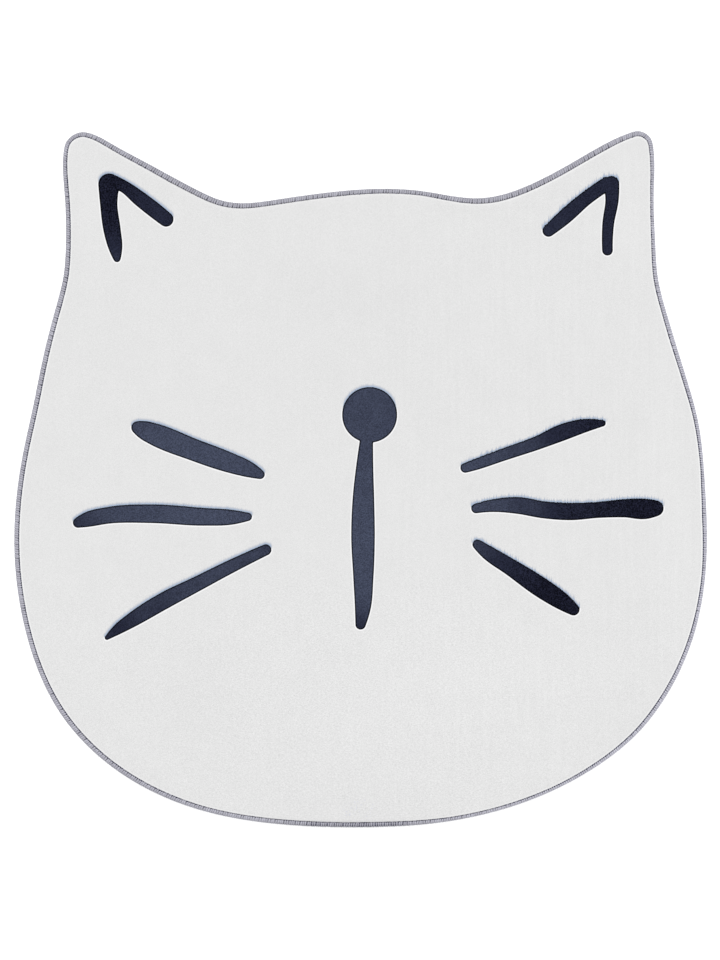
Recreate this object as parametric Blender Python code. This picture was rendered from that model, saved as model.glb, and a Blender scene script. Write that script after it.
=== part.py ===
"""A flat floor rug in the outline of a cat's head: the cut rug cloth with its short pile, and the
overlocked yarn edge that is sewn around it. Both lie flat at z = 0, with the ears along +Y."""

from collections import namedtuple
from math import cos, pi, radians, sin

import bmesh
import bpy
import numpy as np

MM = 0.001

# The whole rug, in millimetres
RUG_WIDTH = 995.0  # cheek to cheek
RUG_LENGTH = 1000.0  # chin to ear tips
RUG_THICKNESS = 7.0  # backing and pile together
BACKING_LOW = 1.7  # the rim of the backing, which the edge yarn holds
BACKING_HIGH = 3.1
PILE_ROUNDING = 2.6  # how far in from the yarn the pile's rim rounds over
PILE_SHOULDER = 4.9  # height at which that rounding starts

# The overlocked edge
EDGE_WIDTH = 8.0  # the yarn band, seen from above
EDGE_HEIGHT = 5.6
EDGE_WALL = 3.0  # yarn outside the backing's rim
GAP = 0.3  # between the backing's rim and the yarn

# How finely the outline is drawn
FINE_STEPS = 60  # steps from one point of the table to the next
MOST_TURN = radians(6.0)
MOST_LENGTH = 30.0

OutlinePoint = namedtuple("OutlinePoint", "place across up")
EarTip = namedtuple("EarTip", "across up radius start_deg end_deg")
SectionPoint = namedtuple("SectionPoint", "inset height")

LEFT_EAR = EarTip(across=-398.4, up=470.5, radius=28.0, start_deg=67.0, end_deg=180.0)
RIGHT_EAR = EarTip(across=397.7, up=477.5, radius=22.5, start_deg=0.0, end_deg=117.0)
EAR_TIP_POINTS = 5

LEFT_SIDE_AND_CHIN = [
    OutlinePoint("left ear, halfway down", -424.6, 405.0),
    OutlinePoint("left ear root", -423.2, 338.0),
    OutlinePoint("left ear root, low", -427.2, 289.0),
    OutlinePoint("left temple", -436.5, 251.0),
    OutlinePoint("left cheek, high", -457.5, 168.0),
    OutlinePoint("left cheek, over the whiskers", -470.2, 105.0),
    OutlinePoint("left cheek", -484.0, 41.0),
    OutlinePoint("left cheek, fullest", -497.5, -88.0),
    OutlinePoint("left jaw", -480.0, -223.0),
    OutlinePoint("left jaw, low", -433.0, -334.0),
    OutlinePoint("chin, left end", -350.4, -418.5),
    OutlinePoint("chin, left", -223.2, -477.6),
    OutlinePoint("chin, left of the middle", -110.0, -496.5),
    OutlinePoint("chin, middle", 0.0, -500.5),
]

CHIN_AND_RIGHT_SIDE = [
    OutlinePoint("chin, right of the middle", 110.0, -494.0),
    OutlinePoint("chin, right", 218.4, -470.1),
    OutlinePoint("chin, right end", 343.0, -410.2),
    OutlinePoint("right jaw, lowest", 403.8, -359.0),
    OutlinePoint("right jaw, low", 428.6, -327.5),
    OutlinePoint("right jaw", 479.0, -223.0),
    OutlinePoint("right cheek, fullest", 497.5, -75.0),
    OutlinePoint("right cheek", 494.0, 0.0),
    OutlinePoint("right cheek, over the whiskers", 482.6, 93.0),
    OutlinePoint("right cheek, high", 473.4, 127.0),
    OutlinePoint("right temple", 436.0, 251.0),
    OutlinePoint("right ear root, low", 427.2, 288.0),
    OutlinePoint("right ear root", 423.3, 335.0),
    OutlinePoint("right ear, halfway down", 420.8, 410.0),
]

BROW = [
    OutlinePoint("right ear slope, high", 329.9, 469.5),
    OutlinePoint("right ear slope, middle", 289.0, 445.9),
    OutlinePoint("right ear slope, low", 254.5, 428.0),
    OutlinePoint("right dip", 173.0, 403.6),
    OutlinePoint("brow, right", 92.0, 413.1),
    OutlinePoint("brow, middle", 12.0, 416.5),
    OutlinePoint("brow, left", -72.0, 408.5),
    OutlinePoint("brow, left end", -127.0, 400.5),
    OutlinePoint("left dip", -176.0, 396.5),
    OutlinePoint("left ear slope, foot", -200.4, 400.5),
    OutlinePoint("left ear slope, low", -232.5, 414.0),
    OutlinePoint("left ear slope, high", -316.0, 458.7),
    OutlinePoint("left ear slope, top", -355.9, 480.3),
]


def ear_tip(ear):
    """The rounded tip of an ear, as points on an arc."""
    angles = np.radians(np.linspace(ear.start_deg, ear.end_deg, EAR_TIP_POINTS))
    return [(ear.across + ear.radius * cos(a), ear.up + ear.radius * sin(a)) for a in angles]


def table_points():
    """The outline's own points, counter-clockwise from the left ear's tip."""
    rows = [(p.across, p.up) for p in LEFT_SIDE_AND_CHIN + CHIN_AND_RIGHT_SIDE]
    brow = [(p.across, p.up) for p in BROW]
    return np.array(ear_tip(LEFT_EAR) + rows + ear_tip(RIGHT_EAR) + brow)


def closed_spline(points, steps):
    """Places and directions along a smooth closed curve through the points, whose bend also
    changes smoothly at each of them."""
    following = np.roll(points, -1, axis=0)
    span = np.linalg.norm(following - points, axis=1)
    before = np.roll(span, 1)
    count = len(points)
    matrix = np.zeros((count, count))
    for i in range(count):
        matrix[i, i - 1] += before[i]
        matrix[i, i] += 2 * (before[i] + span[i])
        matrix[i, (i + 1) % count] += span[i]
    slope = (following - points) / span[:, None]
    bend = np.linalg.solve(matrix, 6 * (slope - np.roll(slope, 1, axis=0)))
    next_bend = np.roll(bend, -1, axis=0)
    places, directions = [], []
    for i in range(count):
        h = span[i]
        for s in np.arange(steps) / steps * h:
            rest = h - s
            curved = bend[i] * (rest**3 / h - h * rest) + next_bend[i] * (s**3 / h - h * s)
            turning = bend[i] * (h - 3 * rest**2 / h) + next_bend[i] * (3 * s**2 / h - h)
            places.append((points[i] * rest + following[i] * s) / h + curved / 6)
            directions.append(slope[i] + turning / 6)
    return np.array(places), np.array(directions)


def thinned(places, directions):
    """The places to keep: one after each small turn, or after a set length where it is straight."""
    heading = np.unwrap(np.arctan2(directions[:, 1], directions[:, 0]))
    turn = np.cumsum(np.abs(np.diff(heading, prepend=heading[0])))
    length = np.cumsum(np.linalg.norm(np.diff(places, axis=0, prepend=places[:1]), axis=1))
    progress = turn / MOST_TURN + length / MOST_LENGTH
    count = int(progress[-1])
    wanted = np.arange(count) * progress[-1] / count
    return np.searchsorted(progress, wanted)


def rug_outline():
    """The outline and its outward directions in millimetres, sized to the rug and centred."""
    places, directions = closed_spline(table_points(), FINE_STEPS)
    low, high = places.min(axis=0), places.max(axis=0)
    scale = np.array([RUG_WIDTH, RUG_LENGTH]) / (high - low)
    places = (places - (low + high) / 2) * scale
    directions = directions * scale
    kept = thinned(places, directions)
    along = directions[kept] / np.linalg.norm(directions[kept], axis=1)[:, None]
    outward = np.stack([along[:, 1], -along[:, 0]], axis=1)
    return places[kept], outward


def ring_of(bm, outline, outward, point):
    """One loop of vertices, a set distance inside the outline and at a set height."""
    loop = outline - outward * point.inset
    return [bm.verts.new((x * MM, y * MM, point.height * MM)) for x, y in loop]


def strip(bm, lower, upper):
    """The quads between two loops; the loops run counter-clockwise, seen from above."""
    count = len(lower)
    for i in range(count):
        j = (i + 1) % count
        bm.faces.new((lower[i], lower[j], upper[j], upper[i]))


def cap(bm, loop, height, faces_up):
    """A flat face as a fan about the rug's middle, which every point of the outline can see."""
    hub = bm.verts.new((0.0, 0.0, height * MM))
    for i, vertex in enumerate(loop):
        following = loop[(i + 1) % len(loop)]
        bm.faces.new((hub, vertex, following) if faces_up else (hub, following, vertex))


def body_section():
    """The rug cloth's rim, from its underside out to the backing's rim and up to the pile."""
    neck = EDGE_WIDTH + GAP
    rim = EDGE_WALL + GAP
    rise = RUG_THICKNESS - PILE_SHOULDER
    rounding = [
        SectionPoint(
            neck + PILE_ROUNDING * (1 - cos(a)),
            PILE_SHOULDER + rise * sin(a),
        )
        for a in np.linspace(0, pi / 2, 4)
    ]
    return [
        SectionPoint(neck, 0.0),
        SectionPoint(neck, BACKING_LOW),
        SectionPoint(rim, BACKING_LOW),
        SectionPoint(rim, BACKING_HIGH),
        SectionPoint(neck, BACKING_HIGH),
        *rounding,
    ]


def edge_section():
    """The yarn edge's section: a round nose outside, a flat foot and a slot for the backing."""
    nose = EDGE_HEIGHT / 2
    round_nose = [
        SectionPoint(nose * (1 - cos(a)), nose + nose * sin(a))
        for a in np.linspace(-pi / 2, pi / 2, 7)
    ]
    slot_low = BACKING_LOW - GAP
    slot_high = BACKING_HIGH + GAP
    shoulder = 1.2
    return [
        *round_nose,
        SectionPoint(EDGE_WIDTH - shoulder, EDGE_HEIGHT),
        SectionPoint(EDGE_WIDTH, EDGE_HEIGHT - shoulder),
        SectionPoint(EDGE_WIDTH, slot_high),
        SectionPoint(EDGE_WALL, slot_high),
        SectionPoint(EDGE_WALL, slot_low),
        SectionPoint(EDGE_WIDTH, slot_low),
        SectionPoint(EDGE_WIDTH, 0.0),
    ]


def material(name, colour, roughness):
    """A plain Principled material."""
    made = bpy.data.materials.new(name)
    made.use_nodes = True
    shader = made.node_tree.nodes["Principled BSDF"]
    shader.inputs["Base Color"].default_value = (*colour, 1.0)
    shader.inputs["Roughness"].default_value = roughness
    shader.inputs["Metallic"].default_value = 0.0
    return made


def add_object(name, bm, finish):
    """Puts a finished mesh into the scene, smooth but for its real corners."""
    mesh = bpy.data.meshes.new(name)
    bm.to_mesh(mesh)
    bm.free()
    mesh.materials.append(finish)
    mesh.shade_smooth()
    mesh.set_sharp_from_angle(angle=radians(40))
    made = bpy.data.objects.new(name, mesh)
    bpy.context.scene.collection.objects.link(made)
    return made


def rug_cloth(outline, outward):
    """The cut cloth: backing and short pile in one, flat above and below."""
    bm = bmesh.new()
    loops = [ring_of(bm, outline, outward, p) for p in body_section()]
    for lower, upper in zip(loops, loops[1:]):
        strip(bm, lower, upper)
    cap(bm, loops[0], 0.0, faces_up=False)
    cap(bm, loops[-1], RUG_THICKNESS, faces_up=True)
    pile = material("white_pile", (0.783, 0.783, 0.783), 0.95)
    return add_object("rug_cloth", bm, pile)


def overlocked_edge(outline, outward):
    """The yarn that wraps the cut rim all the way round."""
    bm = bmesh.new()
    loops = [ring_of(bm, outline, outward, p) for p in edge_section()]
    for lower, upper in zip(loops, loops[1:] + loops[:1]):
        strip(bm, lower, upper)
    yarn = material("grey_edge_yarn", (0.42, 0.40, 0.47), 0.85)
    return add_object("overlocked_edge", bm, yarn)


def main():
    for old in list(bpy.data.objects):
        bpy.data.objects.remove(old, do_unlink=True)
    outline, outward = rug_outline()
    rug_cloth(outline, outward)
    overlocked_edge(outline, outward)


main()
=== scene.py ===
# A kids' rug cut in the outline of a cat's head, laid flat on a pale floor and seen from straight
# above: printed short pile, a woven backing under it and an overlocked yarn edge all the way round.
import math

import bpy
import numpy as np
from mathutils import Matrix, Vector, noise
from mathutils.geometry import delaunay_2d_cdt


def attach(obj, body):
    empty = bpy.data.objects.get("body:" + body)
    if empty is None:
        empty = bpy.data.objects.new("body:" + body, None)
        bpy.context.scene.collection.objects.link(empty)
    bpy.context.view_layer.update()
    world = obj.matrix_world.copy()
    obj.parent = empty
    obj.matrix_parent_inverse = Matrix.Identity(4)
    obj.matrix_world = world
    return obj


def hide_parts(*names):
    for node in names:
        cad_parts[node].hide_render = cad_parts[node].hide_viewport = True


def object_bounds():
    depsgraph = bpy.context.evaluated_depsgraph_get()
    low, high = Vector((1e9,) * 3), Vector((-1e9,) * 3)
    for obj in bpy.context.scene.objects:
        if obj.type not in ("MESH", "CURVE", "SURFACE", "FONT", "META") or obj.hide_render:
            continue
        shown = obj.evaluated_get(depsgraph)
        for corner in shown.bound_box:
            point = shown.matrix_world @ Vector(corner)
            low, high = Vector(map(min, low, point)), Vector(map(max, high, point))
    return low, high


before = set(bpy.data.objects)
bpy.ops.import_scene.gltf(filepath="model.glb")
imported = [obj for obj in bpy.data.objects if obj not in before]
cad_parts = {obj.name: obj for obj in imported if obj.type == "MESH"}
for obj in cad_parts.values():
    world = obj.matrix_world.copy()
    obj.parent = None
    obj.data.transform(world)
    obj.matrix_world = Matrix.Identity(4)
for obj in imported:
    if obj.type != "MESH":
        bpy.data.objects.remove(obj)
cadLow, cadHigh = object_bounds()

mm = 0.001
print("frame loaded:", ", ".join(sorted(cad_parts)))


def smoothLine(points, spacing, closed=False):
    # an even smooth line through the points; columns after the first two (widths, tones) go along
    following = np.roll(points, -1, axis=0)
    gap = np.linalg.norm((following - points)[:, :2], axis=1)
    slope = (following - points) / gap[:, None]
    gapBefore = np.roll(gap, 1)
    heading = slope * gapBefore[:, None] + np.roll(slope, 1, axis=0) * gap[:, None]
    heading /= (gap + gapBefore)[:, None]
    if not closed:
        heading[0] = 2 * slope[0] - heading[1]
        heading[-1] = 2 * slope[-2] - heading[-2]
    steps = np.linspace(0, 1, 40, endpoint=False)[:, None]
    line = []
    for i in range(len(points) if closed else len(points) - 1):
        j = (i + 1) % len(points)
        start = (1 + 2 * steps) * (1 - steps) ** 2 * points[i]
        end = steps ** 2 * (3 - 2 * steps) * points[j]
        leaving = steps * (1 - steps) ** 2 * gap[i] * heading[i]
        arriving = steps ** 2 * (steps - 1) * gap[i] * heading[j]
        line.append(start + end + leaving + arriving)
    line.append(points[:1] if closed else points[-1:])
    line = np.vstack(line)
    length = np.cumsum(np.linalg.norm(np.diff(line[:, :2], axis=0, prepend=line[:1, :2]), axis=1))
    at = np.linspace(0, length[-1], max(2, round(length[-1] / spacing)) + 1)
    even = np.stack([np.interp(at, length, column) for column in line.T], axis=1)
    return even[:-1] if closed else even


def readOutline():
    # the nose of the edge bead is the rug's outermost line
    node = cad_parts["overlocked_edge"]
    places = np.array([v.co[:] for v in node.data.vertices])
    noseHeight = places[np.argmax(places[:, 0]), 2]
    nose = places[np.abs(places[:, 2] - noseHeight) < 0.05 * mm, :2]
    nose = np.unique(nose.round(6), axis=0)
    return nose[np.argsort(np.arctan2(nose[:, 1], nose[:, 0]))]


def outlineAt(spacing):
    # even points round the rug, counter-clockwise, and the way out of it at each
    line = smoothLine(outlinePoints, spacing, closed=True)
    along = np.roll(line, -1, axis=0) - np.roll(line, 1, axis=0)
    along /= np.linalg.norm(along, axis=1)[:, None]
    return line, np.stack([along[:, 1], -along[:, 0]], axis=1)


def insetOf(places):
    # how far in from the rug's outline each place is, in metres
    line, outward = outlineAt(4 * mm)
    inset = np.empty(len(places))
    for start in range(0, len(places), 4000):
        part = places[start:start + 4000, None, :2]
        nearest = np.argmin(((part - line[None]) ** 2).sum(axis=2), axis=1)
        inset[start:start + 4000] = ((line[nearest] - part[:, 0]) * outward[nearest]).sum(axis=1)
    return inset


outlinePoints = readOutline()
print("outline read:", len(outlinePoints), "points")

# How the yarn band changes on its way round the rug, from the right side on, counter-clockwise:
# degrees round the middle, the band's width (mm), its painted light and shade (darkest at the chin)
# and, each from 0 to about 1, the painted light on the pile beside it, how dark the needle thread
# is and how loose that thread is.
edgeBand = [
    (2, 4.5, 1.10, 0.85, 1.2, 0.2), (12, 5.8, 1.10, 0.8, 1.1, 0.2), (24, 6.8, 1.10, 0.85, 0.7, 0.2),
    (34, 6.2, 1.08, 0.7, 0.9, 0.2), (44, 4.4, 1.06, 0.55, 0.5, 0.3), (54, 8.3, 0.97, 0.4, 0.0, 1.0),
    (64, 8.5, 0.97, 0.2, 0.0, 1.0), (78, 6.4, 0.95, 0.1, 0.2, 0.7), (95, 7.0, 0.96, 0.0, 0.05, 0.7),
    (110, 7.2, 0.97, 0.0, -0.05, 0.8), (122, 8.5, 0.94, 0.0, 0.0, 1.0),
    (132, 5.8, 0.97, 0.4, 0.9, 0.4), (150, 7.4, 1.0, 0.55, 0.7, 0.2),
    (165, 7.3, 1.0, 0.6, 1.0, 0.2), (178, 7.0, 1.0, 0.6, 0.9, 0.2), (205, 7.0, 1.0, 0.75, 0.9, 0.2),
    (222, 7.3, 0.97, 0.75, 0.85, 0.3), (235, 6.9, 0.96, 0.75, 0.65, 0.3),
    (244, 6.4, 0.99, 0.7, 0.3, 0.3), (252, 6.7, 1.0, 0.8, 0.2, 0.3),
    (262, 7.0, 0.90, 0.15, 0.25, 0.4), (274, 7.1, 0.88, 0.15, 0.3, 0.4),
    (284, 5.4, 1.0, 0.8, 0.5, 0.3), (303, 4.5, 1.05, 0.85, 0.78, 0.3),
    (322, 6.1, 1.14, 0.85, 1.15, 0.2), (335, 5.8, 1.14, 1.0, 1.1, 0.2),
    (345, 4.9, 1.13, 1.0, 1.2, 0.2), (354, 6.3, 1.12, 1.0, 1.3, 0.2),
]


def bandAt(places):
    # width, painted light and shade, painted rim light, thread darkness and looseness of the band
    # beside each place
    rows = np.array(edgeBand)
    angle = np.degrees(np.arctan2(places[:, 1], places[:, 0])) % 360
    return [np.interp(angle, rows[:, 0], column, period=360) for column in rows[:, 1:].T]


def show(name, data):
    # an object with this data, in the scene
    made = bpy.data.objects.new(name, data)
    bpy.context.scene.collection.objects.link(made)
    return made


def makePiece(name, verts, faces, material, smooth=True):
    mesh = bpy.data.meshes.new(name)
    mesh.from_pydata([tuple(v) for v in verts], [], faces)
    mesh.materials.append(material)
    if smooth:
        mesh.shade_smooth()
    return show(name, mesh)


def storeValues(mesh, name, values):
    layer = mesh.attributes.new(name, "FLOAT", "POINT")
    layer.data.foreach_set("value", np.asarray(values, np.float32))


def readAll(items, name, kind, each=1):
    values = np.zeros(each * len(items), kind)
    items.foreach_get(name, values)
    return values


def ringFaces(rings, around, closed=False):
    # quads between each ring of vertices and the next, and back to the first where they close
    faces = []
    for ring in range(rings if closed else rings - 1):
        low, high = ring * around, (ring + 1) % rings * around
        for i in range(around):
            j = (i + 1) % around
            faces.append((low + i, low + j, high + j, high + i))
    return faces


class Flow:
    # a value that runs through a node tree, so that sums of such values are written as sums
    def __init__(self, tree, socket):
        self.tree, self.socket = tree, socket

    def beside(self, output):
        # another output of the same node
        return Flow(self.tree, self.socket.node.outputs[output])

    def __add__(self, other):
        return calc("ADD", self, other)

    def __radd__(self, other):
        return calc("ADD", other, self)

    def __sub__(self, other):
        return calc("SUBTRACT", self, other)

    def __rsub__(self, other):
        return calc("SUBTRACT", other, self)

    def __mul__(self, other):
        return calc("MULTIPLY", self, other)

    def __truediv__(self, other):
        return calc("DIVIDE", self, other)

    def __abs__(self):
        return calc("ABSOLUTE", self)


def join(tree, node, inputs):
    # joins values to a node's inputs, or sets plain ones on them
    for key, value in inputs.items():
        if isinstance(value, Flow):
            tree.links.new(value.socket, node.inputs[key])
        else:
            node.inputs[key].default_value = value


def addNode(tree, kind, inputs=(), output=0, **settings):
    made = tree.nodes.new(kind)
    for name, value in settings.items():
        setattr(made, name, value)
    join(tree, made, dict(inputs))
    return Flow(tree, made.outputs[output])


def calc(way, *values, clamp=False):
    tree = next(value.tree for value in values if isinstance(value, Flow))
    return addNode(tree, "ShaderNodeMath", enumerate(values), operation=way, use_clamp=clamp)


def ease(value, low, high, toLow=0.0, toHigh=1.0, smooth=True):
    return addNode(value.tree, "ShaderNodeMapRange", enumerate((value, low, high, toLow, toHigh)),
                   interpolation_type="SMOOTHSTEP" if smooth else "LINEAR")


def mixColour(amount, *colours):
    # plain colours are given as levels of 255
    below, above = [c if isinstance(c, Flow) else (*underLight(*c), 1.0) for c in colours]
    inputs = {0: amount, 6: below, 7: above}
    return addNode(amount.tree, "ShaderNodeMix", inputs, 2, data_type="RGBA")


def scaleColour(colour, amount):
    inputs = {0: colour, "Scale": amount}
    return addNode(amount.tree, "ShaderNodeVectorMath", inputs, operation="SCALE")


def grain(place, scale, detail=2.0, roughness=0.5):
    return addNode(place.tree, "ShaderNodeTexNoise",
                   {"Vector": place, "Scale": scale, "Detail": detail, "Roughness": roughness})


def turned(place, scale, turn=0.0):
    return addNode(place.tree, "ShaderNodeMapping",
                   {"Vector": place, "Rotation": (0, 0, math.radians(turn)), "Scale": scale})


def splitUp(place):
    # a place's three measures
    first = addNode(place.tree, "ShaderNodeSeparateXYZ", {0: place})
    return first, first.beside(1), first.beside(2)


def stored(tree, name):
    return addNode(tree, "ShaderNodeAttribute", output="Fac", attribute_name=name)


def newMaterial(name, sheen=0.0, specular=0.15):
    # a plain material, its tree, and the place on the piece where it is worked out
    made = bpy.data.materials.new(name)
    made.use_nodes = True
    tree = made.node_tree
    join(tree, tree.nodes["Principled BSDF"], {"Specular IOR Level": specular, "Sheen Weight": sheen})
    return made, tree, addNode(tree, "ShaderNodeTexCoord", output="Object")


def dress(material, colour, roughness, height=None, distance=0.0, strength=1.0):
    # gives a material what has been worked out for it
    inputs = {"Base Color": colour, "Roughness": roughness}
    if height:
        inputs["Normal"] = addNode(height.tree, "ShaderNodeBump", {
            "Strength": strength, "Distance": distance, "Height": height})
    join(material.node_tree, material.node_tree.nodes["Principled BSDF"], inputs)
    return material


def underLight(*levels):
    # the colour that comes out at these levels of 255 under this scene's light
    return tuple(((c / 255 + 0.055) / 1.055) ** 2.4 / lightLook["whiteLevel"] for c in levels)


lightLook = {
    "whiteLevel": 1.12,  # what a flat white surface gets from the sky and the lamp together
    "lampShare": 0.24,  # of that, from the lamp beyond the ears
    "lampHeight": 50.0,  # degrees above the floor
    "lampTurn": 12.0,  # degrees towards the left ear
    "lampSoftness": 26.0,  # degrees across
    "floorColour": (0.95, 0.95, 0.95),
    "floorGlow": 0.35,  # light of its own, as a light table has
    "floorRoughness": 0.9,
    "floorSize": 60.0,
    "floorLevel": -0.3 * mm,
}

cameraLook = {
    "across": -0.86 * mm,
    "up": -1.15 * mm,
    "distance": 3.8314,  # from the top of the pile
    "lens": 100.0,
    "sensor": 36.0,
    "clip": (0.05, 60.0),  # metres, nearest and furthest
}


def makeCamera(look):
    data = bpy.data.cameras.new("camera")
    data.lens = look["lens"]
    data.sensor_width = look["sensor"]
    data.clip_start, data.clip_end = look["clip"]
    camera = show("camera", data)
    camera.location = (look["across"], look["up"], cadHigh[2] + look["distance"])
    bpy.context.scene.camera = camera


def makeLight(look):
    world = bpy.data.worlds.new("studio")
    world.use_nodes = True
    sky = world.node_tree.nodes["Background"]
    sky.inputs["Color"].default_value = (1.0, 1.0, 1.0, 1.0)
    sky.inputs["Strength"].default_value = look["whiteLevel"] * (1 - look["lampShare"])
    bpy.context.scene.world = world
    data = bpy.data.lights.new("lamp", "SUN")
    height = math.radians(look["lampHeight"])
    data.energy = look["whiteLevel"] * look["lampShare"] * math.pi / math.sin(height)
    data.angle = math.radians(look["lampSoftness"])
    turn = math.radians(look["lampTurn"])
    towards = Vector((-math.sin(turn) * math.cos(height), math.cos(turn) * math.cos(height),
                      math.sin(height)))
    show("lamp", data).rotation_euler = towards.to_track_quat("Z", "Y").to_euler()


def makeFloor(look):
    material, tree, place = newMaterial("paleFloor")
    cloud = ease(grain(place, 3.0), 0.3, 0.7, 0.985, 1.0)
    dress(material, scaleColour(look["floorColour"], cloud), look["floorRoughness"])
    join(tree, tree.nodes["Principled BSDF"], {
        "Emission Color": (1.0, 1.0, 1.0, 1.0), "Emission Strength": look["floorGlow"]})
    half = look["floorSize"] / 2
    low = look["floorLevel"]
    verts = [(-half, -half, low), (half, -half, low), (half, half, low), (-half, half, low)]
    floor = makePiece("floor", verts, [(0, 1, 2, 3)], material, smooth=False)


makeCamera(cameraLook)
makeLight(lightLook)
makeFloor(lightLook)
scene = bpy.context.scene
scene.view_settings.view_transform = "Standard"
scene.view_settings.look = "None"
print("camera, light and floor made")


# For each stroke, how far pale fibres reach over its upper edge, its halo, and the places that it
# is painted through: millimetres across and up from the rug's middle, the brush's width there, and
# how deep the ink is, from 0, slate, to 1, almost black.
strokes = {
    "leftEarOuter": (5.4, [
        (-361.5, 424, 31, 0.95), (-362, 399, 25.5, 0.95), (-356.7, 356, 24.7, 0.8),
        (-352.5, 334, 20.5, 0.6), (-350, 317, 10.5, 0.5)]),
    "leftEarInner": (5.4, [
        (-357, 428.5, 19, 0.95), (-340, 420.5, 18, 0.85), (-316.5, 402.5, 22, 0.65),
        (-279.5, 373.5, 21.5, 0.6)]),
    "rightEarInner": (5.6, [
        (354, 424.5, 20.5, 0.64), (324.5, 404, 20.5, 0.58), (293.3, 377, 22, 0.52),
        (270, 357, 17.5, 0.48)]),
    "rightEarOuter": (5.6, [
        (360.5, 424.5, 22.5, 0.65), (361.3, 403, 19.5, 0.64), (355.7, 366, 17, 0.62),
        (354.7, 329, 15.5, 0.62)]),
    "nose": (5.6, [(13, 93, 79, 0.14), (13, 92, 79, 0.14)]),
    "muzzle": (1.0, [
        (9, 62, 18, 0.12), (6, 19.5, 24.5, 0.09), (4, -30.5, 31.3, 0.03), (3.5, -84.5, 34, 0.0),
        (4, -140, 29.2, 0.02), (3, -187, 22.3, 0.25), (0, -208.7, 15, 0.55)]),
    "leftWhiskerHigh": (5.6, [
        (-320.3, 74.2, 18.6, 0.17), (-309, 69.7, 27.6, 0.08), (-297, 64.9, 31.5, 0.05),
        (-240, 42.4, 32, 0.0), (-190, 24.4, 29.4, 0.03), (-160, 13.8, 22.6, 0.1),
        (-144.3, 6.8, 13.4, 0.15)]),
    "leftWhiskerMiddle": (5.4, [
        (-406, -62.4, 15, 0.45), (-395, -58.6, 20.8, 0.35), (-362, -51.8, 24.3, 0.15),
        (-300, -49.6, 27.1, 0.03), (-225, -54, 25.8, 0.0), (-185, -54.6, 21.5, 0.02),
        (-162, -54, 12.2, 0.08)]),
    "leftWhiskerLow": (5.6, [
        (-136.3, -101.5, 16.4, 0.3), (-184, -124.2, 19.4, 0.2), (-236, -150.9, 22, 0.27),
        (-282, -174.4, 24.8, 0.35), (-328, -202, 21.3, 0.47), (-351, -217.1, 14.8, 0.55),
        (-364.5, -227.8, 6.6, 0.6)]),
    "rightWhiskerHigh": (5.2, [
        (150.5, 16.3, 14.3, 0.05), (162, 20.1, 16.1, 0.08), (204, 34.9, 18, 0.2),
        (254, 52.3, 20.2, 0.4), (291, 67.7, 24.2, 0.62), (322, 77, 19.6, 0.78),
        (347.5, 80.4, 9.6, 0.83)]),
    "rightWhiskerMiddle": (5.5, [
        (166, -42, 14.2, 0.1), (187, -38.3, 18, 0.15), (227, -37.8, 24.6, 0.33),
        (262, -43.8, 24.8, 0.5), (303, -46.4, 25.2, 0.76), (340, -44.2, 23.3, 0.84),
        (380, -41.7, 26.7, 0.95), (411, -42.6, 29, 0.95), (424, -41.8, 22.9, 0.95)]),
    "rightWhiskerLow": (5.0, [
        (168, -93.8, 14.8, 0.3), (182, -104.8, 20.6, 0.4), (215, -126, 24.6, 0.65),
        (262, -157.4, 29.2, 0.97), (290, -175.9, 25, 1.0), (305.8, -187, 17.8, 1.0)]),
}

strokeFacts = {
    "discSpacing": 0.6,  # mm between the brush's discs along a stroke
    "reach": 30.0,  # mm round a stroke in which the distance to it is worked out
}


def brushDiscs(path):
    # across, up, radius and tone of the brush along one stroke, in millimetres
    line = smoothLine(np.array(path, float), strokeFacts["discSpacing"])
    line[:, 2] /= 2
    return line


def inkField(places):
    # for each place: millimetres outside the ink (negative inside), the upward share of the way
    # out of it, the tone of the ink there and the reach of its halo
    far = strokeFacts["reach"]
    distance = np.full(len(places), far)
    upShare, tone, halo = np.zeros((3, len(places)))
    xy = places[:, :2] / mm
    for haloReach, path in strokes.values():
        discs = brushDiscs(path)
        low = (discs[:, :2] - discs[:, 2:3]).min(axis=0) - far
        high = (discs[:, :2] + discs[:, 2:3]).max(axis=0) + far
        near = np.flatnonzero(((xy > low) & (xy < high)).all(axis=1))
        for start in range(0, len(near), 3000):
            some = near[start:start + 3000]
            away = xy[some, None] - discs[None, :, :2]
            length = np.linalg.norm(away, axis=2)
            outside = length - discs[None, :, 2]
            best = np.argmin(outside, axis=1)
            row = np.arange(len(some))
            closer = outside[row, best] < distance[some]
            some, best, row = some[closer], best[closer], row[closer]
            distance[some] = outside[row, best]
            upShare[some] = away[row, best, 1] / np.maximum(length[row, best], 0.01)
            tone[some] = discs[best, 3]
            halo[some] = haloReach
    return distance, upShare, tone, halo


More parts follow.
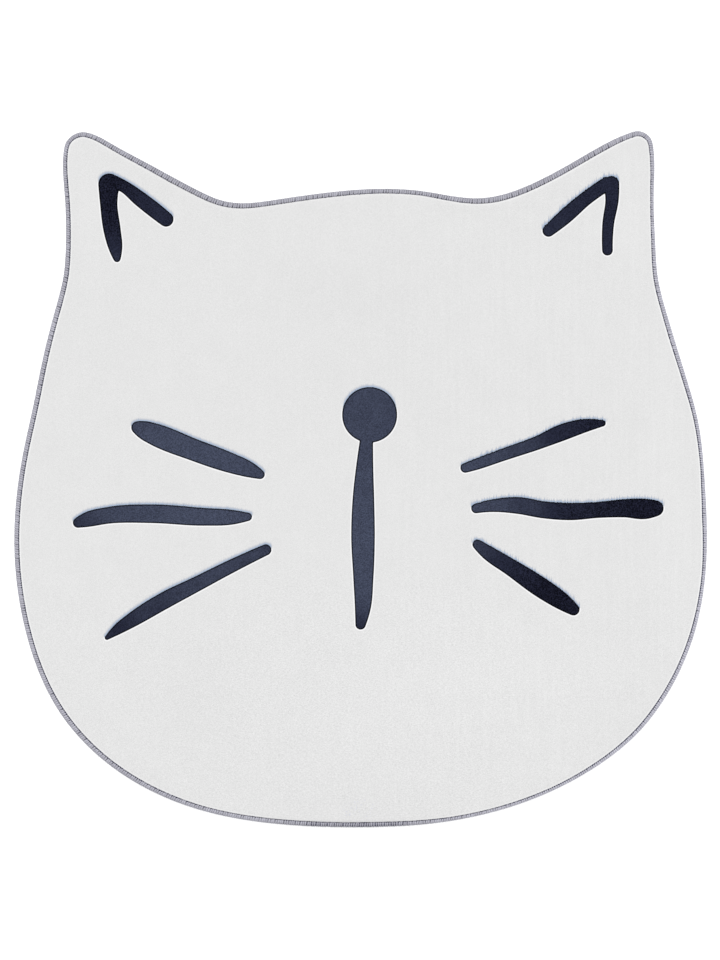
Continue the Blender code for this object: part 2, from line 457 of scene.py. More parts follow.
pileSizes = {
    "top": 7.0 * mm,
    "bottom": 1.6 * mm,
    "rimSpacing": 3.3 * mm,
    # mm in from the yarn band's inner line and mm above the floor
    "rimSection": [(-0.6, 1.6), (-0.6, 4.4), (-0.3, 5.3), (0.4, 6.2), (1.4, 6.75), (2.6, 7.0)],
    "gridSpacing": 3.5 * mm,
    "jitter": 0.25,  # of the grid's spacing
    "gridMargin": 2.2,  # mm between the rim's last ring and the grid
    "fineSpacing": 1.6 * mm,  # beside the ink's edge
    "fineJitter": 0.12,
    "fineReach": 3.6,  # mm on each side of it
    "mergeWithin": 1e-7,  # metres
    "tuftHeight": 0.05 * mm,
    "tuftSize": 6.5 * mm,
    "waveHeight": 0.16 * mm,
    "waveSize": 45 * mm,
    "inkSink": 0.30 * mm,
    "inkSlope": 0.9,  # mm on each side of the ink's edge
    "flatRim": 8,  # mm in from the rim's last ring, over which tufts and waves grow
    "dimples": 46,
    "dimpleSpread": 0.42,  # metres from the middle
    "dimpleTurn": 0.6,  # radians at most, to either side
    "dimpleDepth": (0.12, 0.26),  # mm, least and most
    "dimpleSize": (7 * mm, 4.2 * mm),  # along and across
    "seed": 11,
}

# The flat bake map: metres across the square, and where the hidden face lies in it and how small,
# and the part of a copy's own square that is left free on each side.
mapSizes = {"span": 1.004, "hiddenAt": 0.045, "hiddenSize": 0.08, "gap": 0.06}

# Broad soft patches where the nap lies a little darker or lighter: across, up, both radii (mm),
# turn (degrees) and strength.
napPatches = [
    (-232, -316, 62, 105, 10, -0.8), (372, -330, 60, 80, -15, -0.4), (0, -474, 120, 36, 0, -1.0),
    (-15, 258, 130, 52, -8, -0.9), (452, -60, 34, 240, 4, 0.9), (385, 400, 60, 90, 10, 1.0),
    (-390, 390, 60, 90, -10, 0.6), (-330, 200, 90, 60, 20, -0.2), (150, -260, 140, 90, 0, 0.7),
    (-120, 330, 120, 40, 0, 0.1), (-90, -330, 60, 110, 0, -0.3), (250, 250, 90, 60, 15, 0.3),
    (-420, -150, 40, 120, 0, 0.2), (0, -330, 150, 80, 0, 0.4), (0, 130, 160, 60, 0, -0.5),
    (300, -290, 110, 60, 0, 0.5),
]


def pastBandOf(places):
    # how far in from the yarn band's inner line each place is, in millimetres
    return insetOf(places) / mm - bandAt(places)[0]


def hexGrid(low, high, spacing, jitter, random):
    # a grid of even triangles, every point a little out of its place
    rise = 0.866  # from row to row, of the spacing
    rows = int((high[1] - low[1]) / (spacing * rise)) + 1
    across = int((high[0] - low[0]) / spacing) + 1
    column, row = np.meshgrid(np.arange(across), np.arange(rows))
    x = low[0] + (column + 0.5 * (row % 2)) * spacing
    y = low[1] + row * spacing * rise
    places = np.stack([x.ravel(), y.ravel()], axis=1)
    return places + random.uniform(-jitter, jitter, places.shape) * spacing


def alongAndAcross(away, turn):
    # offsets, seen along a direction and across it
    along = away[:, 0] * math.cos(turn) + away[:, 1] * math.sin(turn)
    return along, away[:, 1] * math.cos(turn) - away[:, 0] * math.sin(turn)


def pileHeights(places, inkDistance, pastBand):
    # small tufts and long low waves, less of both towards the rim, and the pressed-down ink
    sizes = pileSizes
    heights = np.zeros(len(places))
    for i, (x, y) in enumerate(places):
        tuft = noise.noise(Vector((x / sizes["tuftSize"], y / sizes["tuftSize"], 3.0)))
        wave = noise.noise(Vector((x / sizes["waveSize"], y / sizes["waveSize"], 9.0)))
        heights[i] = sizes["tuftHeight"] * tuft + sizes["waveHeight"] * wave
    random = np.random.default_rng(sizes["seed"])
    long, wide = sizes["dimpleSize"]
    for _ in range(sizes["dimples"]):
        angle = random.uniform(0, math.tau)
        radius = sizes["dimpleSpread"] * math.sqrt(random.uniform())
        away = places - (radius * math.cos(angle), radius * math.sin(angle))
        turn = random.uniform(-sizes["dimpleTurn"], sizes["dimpleTurn"])
        along, across = alongAndAcross(away, turn)
        depth = random.uniform(*sizes["dimpleDepth"]) * mm
        heights -= depth * np.exp(-(along / long) ** 2 - (across / wide) ** 2)
    slope = sizes["inkSlope"]
    inside = np.clip((slope - inkDistance) / (2 * slope), 0, 1)
    heights -= sizes["inkSink"] * inside ** 2 * (3 - 2 * inside)
    fade = np.clip((pastBand - sizes["rimSection"][-1][0]) / sizes["flatRim"], 0, 1)
    return heights * fade


def patchShade(places):
    shade = np.zeros(len(places))
    for across, up, wide, high, turn, strength in napPatches:
        u, v = alongAndAcross(places[:, :2] / mm - (across, up), math.radians(turn))
        shade += strength * np.exp(-((u / wide) ** 2 + (v / high) ** 2))
    return shade


def bakeMap(piece, placesOf, topFaces):
    # a flat map: the shown face fills the square, the hidden one sits small in a free corner
    mesh = piece.data
    layer = mesh.uv_layers.new(name="OFBake")
    share = placesOf[readAll(mesh.loops, "vertex_index", np.int32)] / mapSizes["span"]
    shown = np.repeat(topFaces, readAll(mesh.polygons, "loop_total", np.int32))
    small = mapSizes["hiddenAt"] + share * mapSizes["hiddenSize"]
    uv = np.where(shown[:, None], 0.5 + share, small)
    layer.data.foreach_set("uv", uv.astype(np.float32).ravel())


def rimRings(section, spacing):
    # the outline, the way out of it, and the section's rings round the rug
    line, outward = outlineAt(spacing)
    width = bandAt(line)[0]
    return line, outward, [line - outward * ((width + past) * mm)[:, None] for past, _ in section]


def layOut(laid, rings, section, outward, order):
    # the rings, laid out flat round the first in the order, for the bake map
    reach = 0.0
    around = len(outward)
    for before, i in zip(order, order[1:]):
        reach += math.dist(section[i], section[before]) * mm
        laid[i * around:(i + 1) * around] = rings[order[0]] + outward * reach


def makePile(material):
    sizes = pileSizes
    random = np.random.default_rng(sizes["seed"])
    section = sizes["rimSection"]
    line, outward, rings = rimRings(section, sizes["rimSpacing"])
    around = len(line)
    low, high = line.min(axis=0), line.max(axis=0)
    coarse = hexGrid(low, high, sizes["gridSpacing"], sizes["jitter"], random)
    coarse = coarse[pastBandOf(coarse) > section[-1][0] + sizes["gridMargin"]]
    coarse = coarse[np.abs(inkField(coarse)[0]) > sizes["fineReach"]]
    fine = hexGrid(low, high, sizes["fineSpacing"], sizes["fineJitter"], random)
    fine = fine[np.abs(inkField(fine)[0]) <= sizes["fineReach"]]
    inner = np.vstack([coarse, fine])
    flat = np.vstack([rings[-1], inner])
    given = [Vector(p) for p in flat]
    result = delaunay_2d_cdt(given, [], [list(range(around))], 1, sizes["mergeWithin"])
    if len(result[0]) != len(given):
        raise RuntimeError("the pile's grid points fall on each other")
    topTriangles = [tuple(face) for face in result[2]]
    # rings from the backing up to the pile's top, then the inner points
    before = (len(section) - 1) * around
    places = np.vstack(rings[:-1] + [flat])
    inkDistance, upShare, tone, halo = inkField(places)
    pastBand = pastBandOf(places)
    heights = np.full(len(places), sizes["top"])
    for i, (_, height) in enumerate(section):
        heights[i * around:(i + 1) * around] = height * mm
    heights[before + around:] += pileHeights(inner, inkDistance[before + around:],
                                             pastBand[before + around:])
    verts = np.column_stack([places, heights])
    hub = len(verts)
    verts = np.vstack([verts, (0, 0, sizes["bottom"])])
    faces = ringFaces(len(section), around)
    faces += [tuple(before + i for i in face) for face in topTriangles]
    topCount = len(faces)
    faces += [(hub, (i + 1) % around, i) for i in range(around)]
    piece = makePiece("printedPile", verts, faces, material)
    mesh = piece.data
    # each place's values, and last the hub's, which lies hidden under the pile
    for name, values, atHub in (
        ("inkDistance", inkDistance, strokeFacts["reach"]), ("inkUp", upShare, 0),
        ("inkTone", tone, 0), ("inkHalo", halo, 0), ("pastBand", pastBand, 400),
        ("rimLightShare", bandAt(places)[2], 0), ("napShade", patchShade(places), 0),
    ):
        storeValues(mesh, name, np.append(values, atHub))
    laid = np.vstack([places, (0, 0)])
    layOut(laid, rings, section, outward, range(len(section))[::-1])
    bakeMap(piece, laid, np.arange(len(faces)) < topCount)
    print("pile made:", len(verts), "points,", len(mesh.loops) - 2 * len(faces), "triangles")
    return piece


# Here and in the looks below, colours are the levels of 255 that come out on the screen.
pileLook = {
    "colour": (230, 230, 230),
    # painted light for the pile beside the edge yarn
    "rimLightColour": (252, 252, 252),
    "brightColour": (254, 254, 255),
    "slateInk": (68, 74, 93),
    "middleInk": (38, 41, 58),
    "deepInk": (22, 23, 36),
    "inkEdge": 0.2,  # how much of its light the ink keeps just inside its edge
    "haloBlue": (175, 192, 216),
    "haloVeil": (190, 195, 206),
    "haloGrey": (172, 177, 196),
    "rimLight": 1.2,  # mm of bright pile below and beside the ink
    "edgeFuzz": 0.30,  # mm that single fibres move the ink's edge
    "edgeSpikes": -2.0,  # and, where it faces up, that longer ones carry it upwards
    "spikeGrain": (520, 40, 1),
    "cloud": 0.020,
    "cloudGrain": 30.0,
    "speckle": 0.20,
    "speckleGrain": 900.0,
    "streak": 0.030,
    "streakGrain": (150, 9, 1),
    "streakTurn": -14,
    "rows": 0.085,
    "rowGrain": (330, 620, 1),
    "patches": 0.020,
    "lint": (212, 214, 230),
    "lintGrain": 420.0,
    "chinDrop": 0.476,  # metres below the middle, where the lint lies
    "lintSpread": (1600.0, 4000.0),  # one over the square of its reach, across and up
}


def barePile(look, place):
    # clouds, fine speckle, nap streaks on the right, tufting rows low in the middle, a little lint
    across, up, _ = splitUp(place)
    cloud = grain(place, look["cloudGrain"]) - 0.5
    speckle = grain(place, look["speckleGrain"], roughness=0.6) - 0.5
    lively = ease(up, -0.08, -0.30, 1.0, 1.45)
    streaks = grain(turned(place, look["streakGrain"], look["streakTurn"]), 1.0) - 0.5
    rightSide = ease(across, -0.15, 0.25, 0.35, 1.0)
    rows = grain(turned(place, look["rowGrain"]), 1.0, 0.0) - 0.5
    lowMiddle = ease(up, -0.06, -0.20) * ease(abs(across), 0.34, 0.12, 0.4, 1.0)
    shade = (1.0 + cloud * (2 * look["cloud"])
             + speckle * lively * (2 * look["speckle"])
             + streaks * rightSide * (2 * look["streak"])
             + rows * lowMiddle * (2 * look["rows"])
             + stored(place.tree, "napShade") * look["patches"])
    bare = scaleColour(underLight(*look["colour"]), shade)
    fromChin = up + look["chinDrop"]
    wide, high = look["lintSpread"]
    nearChin = across * across * wide + fromChin * fromChin * high
    lint = ease(grain(place, look["lintGrain"], 0.0), 0.68, 0.76) * ease(nearChin, 1.3, 0.7) * 0.8
    return mixColour(lint, bare, look["lint"]), cloud


def printedPileMaterial(look):
    material, tree, place = newMaterial("printedPile", sheen=0.04, specular=0.0)
    distance, up = stored(tree, "inkDistance"), stored(tree, "inkUp")
    bare, cloud = barePile(look, place)

    # painted light on the pile beside the edge yarn, lifting the shade on the rim's slope, and bright
    # pile below and beside the ink
    lightBesideYarn = ease(stored(tree, "pastBand"), 2.8, 1.2) * stored(tree, "rimLightShare")
    bare = mixColour(lightBesideYarn, bare, look["rimLightColour"])
    spikes = grain(turned(place, look["spikeGrain"]), 1.0, 0.0)
    hairy = ease(splitUp(place)[0], 0.02, 0.14, 0.3, 1.0)
    facing = ease(up, 0.08, 0.3)
    fuzz = grain(place, look["speckleGrain"], roughness=0.6) - 0.5
    ragged = (distance + fuzz * (2 * look["edgeFuzz"])
              + (spikes - 0.5) * hairy * facing * look["edgeSpikes"])
    besideInk = ease(ragged, look["rimLight"] + 0.7, look["rimLight"]) * ease(up, 0.35, 0.05)
    bare = mixColour(besideInk, bare, look["brightColour"])

    # pale fibres over the edges that face up: blue close to the ink, then a veil that thins out,
    # even on the left and in separate hairs on the right
    hairLength = 1.0 + hairy * ease(spikes, 0.44, 0.68, -0.3, 0.4)
    reach = ease(up, 0.1, 0.75) * stored(tree, "inkHalo") * hairLength
    share = ragged / calc("MAXIMUM", reach, 0.01)
    bare = mixColour(ease(share, 1.0, 0.2) * facing, bare, look["haloVeil"])
    bare = mixColour(ease(share, 0.42, 0.12) * facing, bare, look["haloBlue"])

    # the ink: slate to almost black, darkest just inside its edge
    depth = calc("ADD", stored(tree, "inkTone"), cloud * 0.35, clamp=True)
    ink = mixColour(ease(depth, 0.0, 0.55, smooth=False), look["slateInk"], look["middleInk"])
    ink = mixColour(ease(depth, 0.55, 1.0, smooth=False), ink, look["deepInk"])
    fleck = (grain(place, 700.0, 0.0) - 0.5) * ease(depth, 0.5, 1.0, 1.4, 4.0)
    mottle = calc("MAXIMUM", fleck + 1.0, 0.3)
    ink = scaleColour(ink, mottle * ease(ragged, -2.4, -1.5, 1.0, look["inkEdge"]))
    inked = ease(ragged, 0.3, -0.3)
    height = grain(place, 700.0, roughness=0.6) * 0.7 + grain(place, 260.0, 1.0, 0.6) * 0.12
    return dress(material, mixColour(inked, bare, ink), ease(inked, 0.0, 1.0, 0.96, 0.82),
                 height, 0.35 * mm, 0.5)


pile = makePile(printedPileMaterial(pileLook))


backingSizes = {
    "spacing": 4.0 * mm,
    "section": [(-0.3, 0.0), (-1.0, 0.25), (-1.2, 0.8), (-1.2, 1.6)],  # as the pile's rim
}

backingLook = {
    "yarn": (214, 209, 199),
    "gap": (150, 144, 134),
    "threadsPerMetre": 380.0,
    "latex": (226, 223, 216),
}


def backingMaterial(look):
    material, _, place = newMaterial("wovenBacking", sheen=0.05)
    across, up, _ = splitUp(place)
    turnsPerThread = look["threadsPerMetre"] * math.pi
    warp = calc("SINE", across * turnsPerThread)
    weft = calc("SINE", up * turnsPerThread)
    warpOver = ease(warp * weft, -0.1, 0.1)
    height = abs(warp) * warpOver + abs(weft) * (1.0 - warpOver)
    slub = grain(turned(place, (60, 600, 1)), 1.0)
    colour = mixColour(ease(height, 0.15, 0.7), look["gap"], look["yarn"])
    smear = ease(grain(place, 55.0, 3.0, 0.6), 0.42, 0.68)
    colour = mixColour(smear * 0.35, colour, look["latex"])
    colour = scaleColour(colour, ease(slub, 0.2, 0.8, 0.93, 1.05))
    return dress(material, colour, ease(smear, 0.0, 1.0, 0.93, 0.7), height, 0.4 * mm, 0.8)


def makeBacking(material):
    section = backingSizes["section"]
    line, outward, rings = rimRings(section, backingSizes["spacing"])
    around = len(line)
    verts = []
    for ring, (_, height) in zip(rings, section):
        verts += [(x, y, height * mm) for x, y in ring]
    under, over = len(verts), len(verts) + 1
    verts += [(0, 0, section[0][1] * mm), (0, 0, section[-1][1] * mm)]
    faces = ringFaces(len(section), around)
    faces += [(under, (i + 1) % around, i) for i in range(around)]
    underCount = len(faces)
    last = (len(section) - 1) * around
    faces += [(over, last + i, last + (i + 1) % around) for i in range(around)]
    piece = makePiece("wovenBacking", verts, faces, material)
    laid = np.array(verts)[:, :2]
    layOut(laid, rings, section, outward, range(len(section)))
    bakeMap(piece, laid, np.arange(len(faces)) < underCount)
    piece.data.set_sharp_from_angle(angle=math.radians(40))
    print("backing made:", len(verts), "points")
    return piece


backing = makeBacking(backingMaterial(backingLook))


class Repeater:
    # a Geometry Nodes tree with named inputs, and short ways to add its nodes
    def __init__(self, name, sizes):
        self.tree = bpy.data.node_groups.new(name, "GeometryNodeTree")
        face = self.tree.interface
        for way in ("INPUT", "OUTPUT"):
            face.new_socket("Geometry", in_out=way, socket_type="NodeSocketGeometry")
        self.values = {}
        for label, value in sizes.items():
            kind = "NodeSocketInt" if isinstance(value, int) else "NodeSocketFloat"
            made = face.new_socket(label, in_out="INPUT", socket_type=kind)
            self.values[made.identifier] = value
        group = self.tree.nodes.new("NodeGroupInput")
        self.given = {socket.name: Flow(self.tree, socket) for socket in group.outputs}

    def add(self, kind, inputs=(), output=0, **settings):
        return addNode(self.tree, kind, inputs, output, **settings)

    def random(self, low, high, salt):
        # the node's inputs for numbers come after those for vectors
        seed = self.given["seed"] + float(salt)
        return self.add("FunctionNodeRandomValue", {2: low, 3: high, 8: seed}, 1, data_type="FLOAT")

    def loosely(self, middle, salt):
        loose = self.given["looseness"]
        return self.random(middle - loose, middle + loose, salt)

    def vector(self, *measures):
        return self.add("ShaderNodeCombineXYZ", enumerate(measures))

    def named(self, name):
        return self.add("GeometryNodeInputNamedAttribute", {"Name": name}, data_type="FLOAT")

    def store(self, geometry, name, value, domain="POINT", kind="FLOAT"):
        return self.add("GeometryNodeStoreNamedAttribute",
                        {"Geometry": geometry, "Name": name, "Value": value},
                        data_type=kind, domain=domain)

    def shape(self, kind, inputs):
        # one of Blender's own shapes, with its own map kept for baking
        mesh = self.add(kind, inputs, "Mesh")
        return self.store(mesh, "OFBake", mesh.beside("UV Map"), "CORNER", "FLOAT2")

    def cone(self, tip):
        return self.shape("GeometryNodeMeshCone", {
            "Vertices": 4, "Side Segments": 2, "Radius Top": tip, "Radius Bottom": 0.5, "Depth": 1.0})

    def sized(self, shape, *scale):
        return self.add("GeometryNodeTransform", {"Geometry": shape, "Scale": self.vector(*scale)})

    def alongEdge(self, *angles):
        # evenly spaced points on the carrier's line, and a turn that sets Y along it and X outwards
        # and then turns the copies by the angles
        curve = self.add("GeometryNodeMeshToCurve", {"Mesh": self.given["Geometry"]})
        points = self.add("GeometryNodeResampleCurve",
                          {"Curve": curve, "Length": self.given["pitch"]}, mode="LENGTH")
        facing = self.add("FunctionNodeAlignRotationToVector",
                          {"Vector": self.add("GeometryNodeInputTangent")}, axis="Y", pivot_axis="Z")
        added = self.add("FunctionNodeEulerToRotation", {0: self.vector(*angles)})
        turn = self.add("FunctionNodeRotateRotation", {0: facing, 1: added}, rotation_space="LOCAL")
        return points, turn

    def run(self, name, carrier, material, placed, shape, scale):
        # copies on points, each with a number and a tone of its own, turned into a plain piece
        points, turn = placed
        made = self.add("GeometryNodeInstanceOnPoints", {
            "Points": points, "Instance": shape, "Rotation": turn, "Scale": scale})
        made = self.store(made, "strandTone", self.random(0.0, 1.0, 3), "INSTANCE")
        made = self.store(made, "copyNumber", self.add("GeometryNodeInputIndex"), "INSTANCE")
        real = self.add("GeometryNodeRealizeInstances", {0: made})
        done = self.add("GeometryNodeSetMaterial", {"Geometry": real, "Material": material})
        join(self.tree, self.tree.nodes.new("NodeGroupOutput"), {0: done})
        modifier = carrier.modifiers.new(name, "NODES")
        modifier.node_group = self.tree
        for key, value in self.values.items():
            modifier[key] = value
        view = bpy.context.evaluated_depsgraph_get()
        mesh = bpy.data.meshes.new_from_object(
            carrier.evaluated_get(view), preserve_all_data_layers=True, depsgraph=view)
        bpy.data.objects.remove(carrier, do_unlink=True)
        mesh.name = name
        mesh.shade_smooth()
        spreadMaps(mesh)
        print(name, "made:", len(mesh.vertices), "points,",
              len(mesh.loops) - 2 * len(mesh.polygons), "triangles")
        return show(name, mesh)


def spreadMaps(mesh):
    # every copy's map gets a small square of its own
    number = readAll(mesh.attributes["copyNumber"].data, "value", np.float32)
    number = number[readAll(mesh.loops, "vertex_index", np.int32)].round().astype(int)
    layer = mesh.uv_layers["OFBake"]
    uv = readAll(layer.data, "uv", np.float32, each=2).reshape(-1, 2)
    side = math.ceil(math.sqrt(number.max() + 1))
    square = np.stack([number % side, number // side], axis=1)
    gap = mapSizes["gap"]
    spread = (square + gap + (1 - 2 * gap) * uv) / side
    layer.data.foreach_set("uv", spread.astype(np.float32).ravel())
    mesh.attributes.remove(mesh.attributes["copyNumber"])


def edgeCarrier(name, height, past=None, proud=0.0):
    # a closed line round the rug for the copies to stand on, a little past the band's inner line
    # or, without one, proud of the outline; it carries what the band is like there
    line, outward = outlineAt(1.0 * mm)
    width, tone, _, dark, loose = bandAt(line)
    inset = np.full(len(line), -proud) if past is None else (width + past) * mm
    mesh = bpy.data.meshes.new(name)
    count = len(line)
    mesh.from_pydata([(x, y, height) for x, y in line - outward * inset[:, None]],
                     [(i, (i + 1) % count) for i in range(count)], [])
    for label, values in (("bandWidth", width * mm), ("bandLightAndShade", tone),
                          ("threadLoose", loose), ("threadDark", dark)):
        storeValues(mesh, label, values)
    return show(name, mesh)


wrapSizes = {
    "pitch": 3.3 * mm,
    "strandWidth": 3.9 * mm,
    "strandThickness": 1.3 * mm,
    "beadWidth": 7.4 * mm,
    "beadHeight": 6.2 * mm,
    "proud": 1.0 * mm,  # how far they stand out past the outline
    "slant": 2.6 * mm,
    "sweep": 5.8,  # radians of the bead that a wrap goes round
    "tucked": 0.4 * mm,  # how far the wraps end before the band's inner line
    "tapered": 0.35,  # of a wrap's width, at both ends
    "darkTone": 0.88,  # where the band is this dark, the wraps are at their thinnest,
    "thinnest": 0.66,  # of their full width,
    "fuller": 4.0,  # and they widen by this much for each whole step of lightness
    "looseness": 0.11,
    "seed": 4,
}


def makeWraps(sizes, material):
    rep = Repeater("edgeWraps", sizes)
    given = rep.given
    strand = rep.shape("GeometryNodeMeshCylinder",
                       {"Vertices": 4, "Side Segments": 11, "Radius": 1.0, "Depth": 1.0})
    # the straight strand is bent round an oval, and tapers at both ends
    through, across, along = splitUp(rep.add("GeometryNodeInputPosition"))
    angle = along * given["sweep"]
    halfThick = given["strandThickness"] * 0.5
    halfWide, halfHigh = given["beadWidth"] * 0.5, given["beadHeight"] * 0.5
    proud = through * halfThick
    outwards = (halfWide - halfThick + proud) * calc("COSINE", angle) - halfWide
    upwards = (halfHigh - halfThick + proud) * calc("SINE", angle) + halfHigh
    taper = 1.0 - calc("POWER", abs(along * 2.0), 4.0) * given["tapered"]
    sideways = across * (given["strandWidth"] * 0.5) * taper + along * given["slant"]
    marked = rep.store(strand, "alongStrand", along)
    marked = rep.store(marked, "acrossStrand", across)
    bent = rep.add("GeometryNodeSetPosition",
                   {"Geometry": marked, "Position": rep.vector(outwards, sideways, upwards)})
    share = (rep.named("bandWidth") + given["proud"] - given["tucked"]) / given["beadWidth"]
    # thinner wraps, with the core's painted shade between them, where the band's painted light is low
    fuller = (rep.named("bandLightAndShade") - given["darkTone"]) * given["fuller"]
    fatness = rep.loosely(1.0, 2) * calc("MINIMUM", fuller + given["thinnest"], 1.0)
    line = edgeCarrier("wrapLine", height=0.0, proud=sizes["proud"])
    return rep.run("edgeYarn", line, material, rep.alongEdge(0.0, 0.0, rep.loosely(0.0, 1)), bent,
                   rep.vector(share, fatness, 1.0))


stitchSizes = {
    "pitch": 3.3 * mm,
    "length": 3.0 * mm,
    "width": 1.5 * mm,
    "height": 1.2 * mm,
    "longest": 1.15,  # of the length
    "leastTurn": -0.2,  # radians out of the line, where the thread is loose
    "mostTurn": 1.1,
    "middleDark": 0.4,  # where the thread is darker than this, the stitches are bigger,
    "heavier": 0.7,  # by this much for each whole step of darkness
    "looseness": 0.35,
    "seed": 9,
}


def makeStitches(sizes, material):
    rep = Repeater("needleStitches", sizes)
    given = rep.given
    bead = rep.shape("GeometryNodeMeshUVSphere", {"Segments": 6, "Rings": 5, "Radius": 0.5})
    shaped = rep.sized(bead, given["width"], given["length"], given["height"])
    yaw = rep.random(given["leastTurn"], given["mostTurn"], 1) * rep.named("threadLoose")
    heavy = (rep.named("threadDark") - given["middleDark"]) * given["heavier"]
    shortest = 1.0 - given["looseness"] * 2.0
    long = rep.random(shortest + heavy, given["longest"], 4)
    line = edgeCarrier("stitchLine", height=5.3 * mm, past=-0.5)
    return rep.run("needleStitches", line, material, rep.alongEdge(0.0, 0.0, yaw), shaped,
                   rep.vector(rep.loosely(1.0, 2) + heavy, long, 1.0))


tuftSizes = {
    "pitch": 1.5 * mm,
    "length": 2.0 * mm,
    "width": 0.9 * mm,
    "lean": 0.9,  # radians outwards over the yarn
    "looseness": 0.35,
    "seed": 21,
}


def makeTufts(sizes, material):
    rep = Repeater("rimTufts", sizes)
    given = rep.given
    shaped = rep.sized(rep.cone(tip=0.16), given["width"], given["width"], given["length"])
    lean = given["lean"] + rep.loosely(0.0, 1)
    line = edgeCarrier("tuftLine", height=4.7 * mm, past=1.35)
    return rep.run("rimTufts", line, material, rep.alongEdge(rep.loosely(0.0, 2), lean, 0.0), shaped,
                   rep.vector(1.0, 1.0, rep.loosely(1.0, 5)))


yarnLook = {
    "colour": (172, 171, 182),
    "lightColour": (202, 202, 213),
    # painted shade between the wraps and at their tucked-in ends
    "shadedColour": (123, 122, 138),
    "navyShadeColour": (69, 72, 101),  # painted shade between the wraps at the chin
    "outerShade": 0.80,  # painted shade: how much of its light the yarn keeps low on its outer side, where the band is dull and where it is light, and the painted highlight that it gets on its inner side
    "outerShadeLight": 1.04,  # where the band is dull and where it is light,
    "innerHighlight": 1.25,  # and the lift that it gets on its inner side
    "innerHighlightAtChin": 1.42,
    # painted shade for the core, which shows between the wraps: grey, and navy at the chin
    "core": ((134, 133, 151), (134, 133, 151), (61, 64, 94)),
    "stitch": ((170, 168, 182), (106, 105, 127), (38, 43, 79)),
    "tuft": (240, 240, 240),
}


def yarnMaterial(look):
    material, tree, place = newMaterial("edgeYarn", sheen=0.08)
    tone, bandLightAndShade = stored(tree, "strandTone"), stored(tree, "bandLightAndShade")
    along, across = stored(tree, "alongStrand"), stored(tree, "acrossStrand")
    fibres = grain(place, 1400.0, roughness=0.6)
    mixed = tone * 0.15 + fibres * 0.55 + grain(place, 60.0, roughness=0.6) * 0.4
    colour = mixColour(ease(mixed, 0.3, 0.85), look["colour"], look["lightColour"])
    # painted shade between the wraps, navy at the chin, where it shows most low on the outer side
    atChin = ease(bandLightAndShade, 0.94, 0.89)
    chinGrooveShade = ease(along, 0.27, 0.35, 1.7, 0.2)
    grooveShade = (ease(abs(across), 0.5, 1.0) * ease(tone, 0.0, 1.0, 0.75, 0.25)
              * ease(atChin, 0.0, 1.0, 0.28, chinGrooveShade))
    grooveShadeColour = mixColour(atChin, look["shadedColour"], look["navyShadeColour"])
    colour = mixColour(calc("MINIMUM", grooveShade, 1.0), colour, grooveShadeColour)
    # painted shade at the wraps' ends, where they tuck in
    colour = mixColour(ease(abs(along), 0.45, 0.5, 0.0, 0.4), colour, look["shadedColour"])
    # painted shade low on the outer side and a painted highlight on the inner side
    outerShade = ease(bandLightAndShade, 0.95, 1.09, look["outerShade"], look["outerShadeLight"])
    outside = ease(along, 0.24, 0.12, 1.0, outerShade)
    innerHighlight = ease(atChin, 0.0, 1.0, look["innerHighlight"], look["innerHighlightAtChin"])
    inside = ease(along, 0.27, 0.42, 1.0, innerHighlight)
    # the band's painted light and shade round the rug, darkest at the chin
    colour = scaleColour(colour, outside * inside * bandLightAndShade)
    return dress(material, colour, ease(fibres, 0.2, 0.8, 0.78, 0.92), fibres, 0.25 * mm, 0.6)


def threadMaterial(name, colours, bounds, darker=0.0):
    # fine thread in three colours, each copy by its tone, and further on where it is said to be dark
    material, tree, place = newMaterial(name, sheen=0.05)
    fibres = grain(place, 1400.0, roughness=0.6)
    mixed = stored(tree, "strandTone") + fibres * 0.2 + (-0.1 - darker / 3)
    if darker:
        mixed = mixed + stored(tree, "threadDark") * darker
    colour = colours[0]
    for bound, further in zip(bounds, colours[1:]):
        colour = mixColour(ease(mixed, bound - 0.08, bound + 0.08), colour, further)
    return dress(material, colour, ease(fibres, 0.2, 0.8, 0.8, 0.94), fibres, 0.2 * mm, 0.6)


coreSizes = {
    "spacing": 3.0 * mm,
    "sides": 10,
    "middle": 0.43,  # of the band's width, in from the outline
    "wide": 0.38,  # of the band's width, to each side
    "level": 2.8,
    "high": 2.0,
    "darkTone": 0.92,  # navy painted shade where the band is painted darker than this, on this side of the core, as the cosine of the way round it
    "darkFrom": -0.2,  # on this side of the core, as the cosine of the way round it
}


def makeCore(sizes, material):
    line, outward = outlineAt(sizes["spacing"])
    around = len(line)
    width, tone = bandAt(line)[:2]
    verts, dark = [], []
    for k in range(sizes["sides"]):
        angle = -math.tau * k / sizes["sides"]
        inset = width * (sizes["middle"] - sizes["wide"] * math.cos(angle)) * mm
        height = sizes["level"] + sizes["high"] * math.sin(angle)
        verts += [(x, y, height * mm) for x, y in line - outward * inset[:, None]]
        # the core shows between the wraps as painted shade, navy on its outer side where the band is
        # darkest
        dark.append((tone < sizes["darkTone"]) & (math.cos(angle) > sizes["darkFrom"]))
    faces = [(a, d, c, b) for a, b, c, d in ringFaces(sizes["sides"], around, closed=True)]
    piece = makePiece("edgeCore", verts, faces, material)
    storeValues(piece.data, "strandTone", np.concatenate(dark))
    print("edge core made:", len(verts), "points")
    return piece


core = makeCore(coreSizes, threadMaterial("edgeCore", yarnLook["core"], (0.3, 0.5)))
wraps = makeWraps(wrapSizes, yarnMaterial(yarnLook))
stitches = makeStitches(stitchSizes, threadMaterial(
    "needleThread", yarnLook["stitch"], (0.4, 0.6), darker=0.9))
tufts = makeTufts(tuftSizes, threadMaterial(
    "rimTufts", (yarnLook["tuft"], pileLook["colour"], pileLook["rimLightColour"]), (0.4, 0.8)))


fibreSizes = {
    "width": 0.75 * mm,
    "thickness": 0.35 * mm,
    "shortest": 0.25,  # of the halo's reach
    "longest": 0.8,
    "tilt": 0.06,  # radians upwards
    "looseness": 0.2,
    "seed": 31,
}

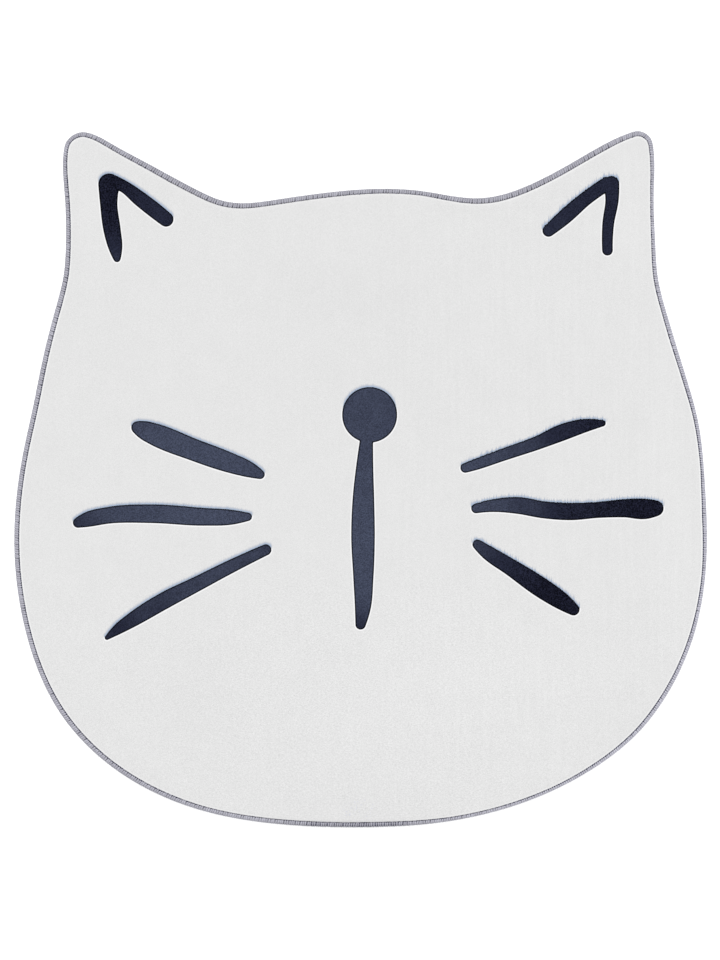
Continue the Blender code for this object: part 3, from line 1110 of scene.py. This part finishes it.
fibreRoots = {
    "spacing": 1.9,  # mm along an edge
    "closest": 0.8,  # of the spacing, between two of them
    "leastUp": 0.25,  # only where the edge faces up at least this much
    "insideBy": 0.25,  # mm inside another stroke's edge at most
    "endSteps": 60,  # round each end of a stroke
    "back": 0.5,  # mm below the edge on the drawing
    "sunk": 0.15,  # mm under the pile's top
    "seed": 33,
}


def upperEdgeRoots():
    # places just inside the ink along the edges that face up, and the halo's reach at each
    random = np.random.default_rng(fibreRoots["seed"])
    roots = []
    for _, path in strokes.values():
        discs = brushDiscs(path)
        along = np.gradient(discs[:, :2], axis=0)
        along /= np.linalg.norm(along, axis=1)[:, None]
        side = np.stack([-along[:, 1], along[:, 0]], axis=1)
        roots += [discs[:, :2] + side * discs[:, 2:3], discs[:, :2] - side * discs[:, 2:3]]
        for end in (0, -1):
            for angle in np.linspace(0, math.tau, fibreRoots["endSteps"]):
                way = np.array([[math.cos(angle), math.sin(angle)]])
                roots.append(discs[[end], :2] + way * discs[end, 2])
    roots = np.vstack(roots)
    distance, up, _, halo = inkField(roots * mm)
    kept = (distance > -fibreRoots["insideBy"]) & (up > fibreRoots["leastUp"])
    roots, reach = roots[kept], (up * halo)[kept]
    # thinned to the spacing, in a fixed order
    taken, chosen = {}, []
    cell = fibreRoots["spacing"]
    apart = cell * fibreRoots["closest"]
    for i in random.permutation(len(roots)):
        key = (int(roots[i, 0] // cell), int(roots[i, 1] // cell))
        near = [taken.get((key[0] + a, key[1] + b)) for a in (-1, 0, 1) for b in (-1, 0, 1)]
        if all(n is None or math.dist(roots[n], roots[i]) > apart for n in near):
            taken[key] = i
            chosen.append(i)
    return roots[chosen], reach[chosen]


def makeFibres(sizes, material):
    roots, reach = upperEdgeRoots()
    mesh = bpy.data.meshes.new("fibreRoots")
    back, level = fibreRoots["back"] * mm, pileSizes["top"] - fibreRoots["sunk"] * mm
    mesh.from_pydata([(x * mm, y * mm - back, level) for x, y in roots], [], [])
    storeValues(mesh, "reach", reach * mm)
    rep = Repeater("inkFibres", sizes)
    given = rep.given
    laid = rep.add("GeometryNodeTransform",
                   {"Geometry": rep.cone(tip=0.1), "Rotation": (math.radians(-90), 0, 0)})
    shaped = rep.sized(laid, given["width"], 1.0, given["thickness"])
    length = rep.named("reach") * rep.random(given["shortest"], given["longest"], 2)
    points = rep.add("GeometryNodeMeshToPoints", {"Mesh": given["Geometry"]})
    angles = rep.vector(given["tilt"], 0.0, rep.loosely(0.0, 1))
    turn = rep.add("FunctionNodeEulerToRotation", {0: angles})
    return rep.run("inkFibres", show("fibreRoots", mesh), material, (points, turn), shaped,
                   rep.vector(1.0, length, 1.0))


fibres = makeFibres(fibreSizes, threadMaterial(
    "inkFibres", (pileLook["haloBlue"], pileLook["haloVeil"], pileLook["haloGrey"]), (0.4, 0.75)))

for node, slot, pieces in (
    ("rug_cloth", "printed_pile", (pile, backing, tufts, fibres)),
    ("overlocked_edge", "edge_yarn", (wraps, core, stitches)),
):
    for piece in pieces:
        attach(piece, "root")
        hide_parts(node)

line = outlineAt(1.0 * mm)[0]
after = np.roll(line, -1, axis=0)
cutArea = abs(float(np.sum(line[:, 0] * after[:, 1] - line[:, 1] * after[:, 0]))) / 2
print("cut area", round(cutArea, 4), "square metres")
